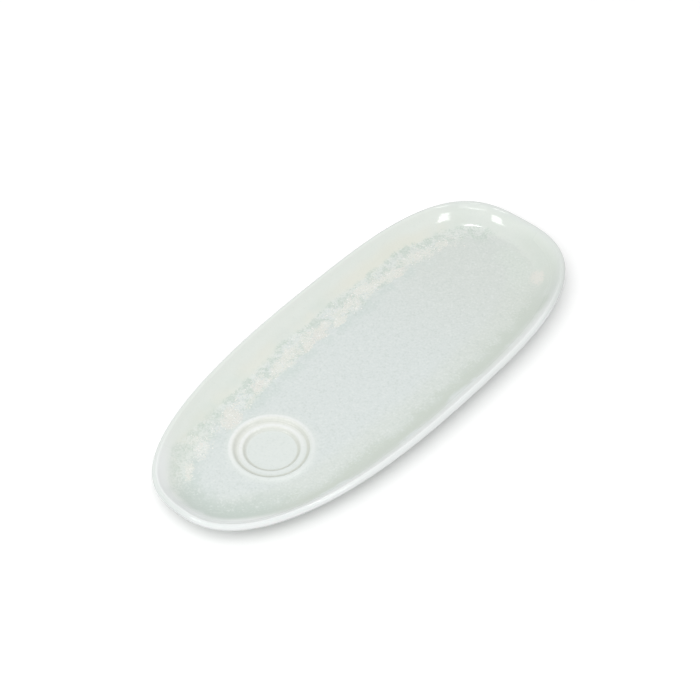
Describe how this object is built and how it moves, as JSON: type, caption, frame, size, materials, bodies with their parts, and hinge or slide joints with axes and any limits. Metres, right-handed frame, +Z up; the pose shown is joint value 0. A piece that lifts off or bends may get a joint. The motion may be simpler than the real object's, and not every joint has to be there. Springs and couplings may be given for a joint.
{
  "type": "asparagus plate",
  "caption": "Long blunt oval ceramic serving plate with a low rounded lip, a stepped round seat for a dip bowl near one end and a pale reactive glaze.",
  "frame": {"origin": "middle of the plate's bounding box, on the plane that the foot ring stands on", "axes": "+X along the plate, away from the bowl seat; +Y towards the side with the crystal band; +Z up"},
  "size_m": [0.36, 0.1515, 0.019],
  "materials": {
    "clay": "fired clay under the glaze",
    "bare_foot": "bare fired clay, matte and finely gritty",
    "well_glaze": "pale sea green gloss glaze, speckled, darker where it pools",
    "back_glaze": "pale sea green gloss glaze, plain",
    "crystal_glaze": "cream and pink melted crystals in a satin gloss"
  },
  "bodies": {
    "root": {"plate_body": "clay", "foot_ring": "bare_foot", "well_glaze": "well_glaze", "back_glaze": "back_glaze", "crystal_glaze": "crystal_glaze"}
  },
  "joints": []
}
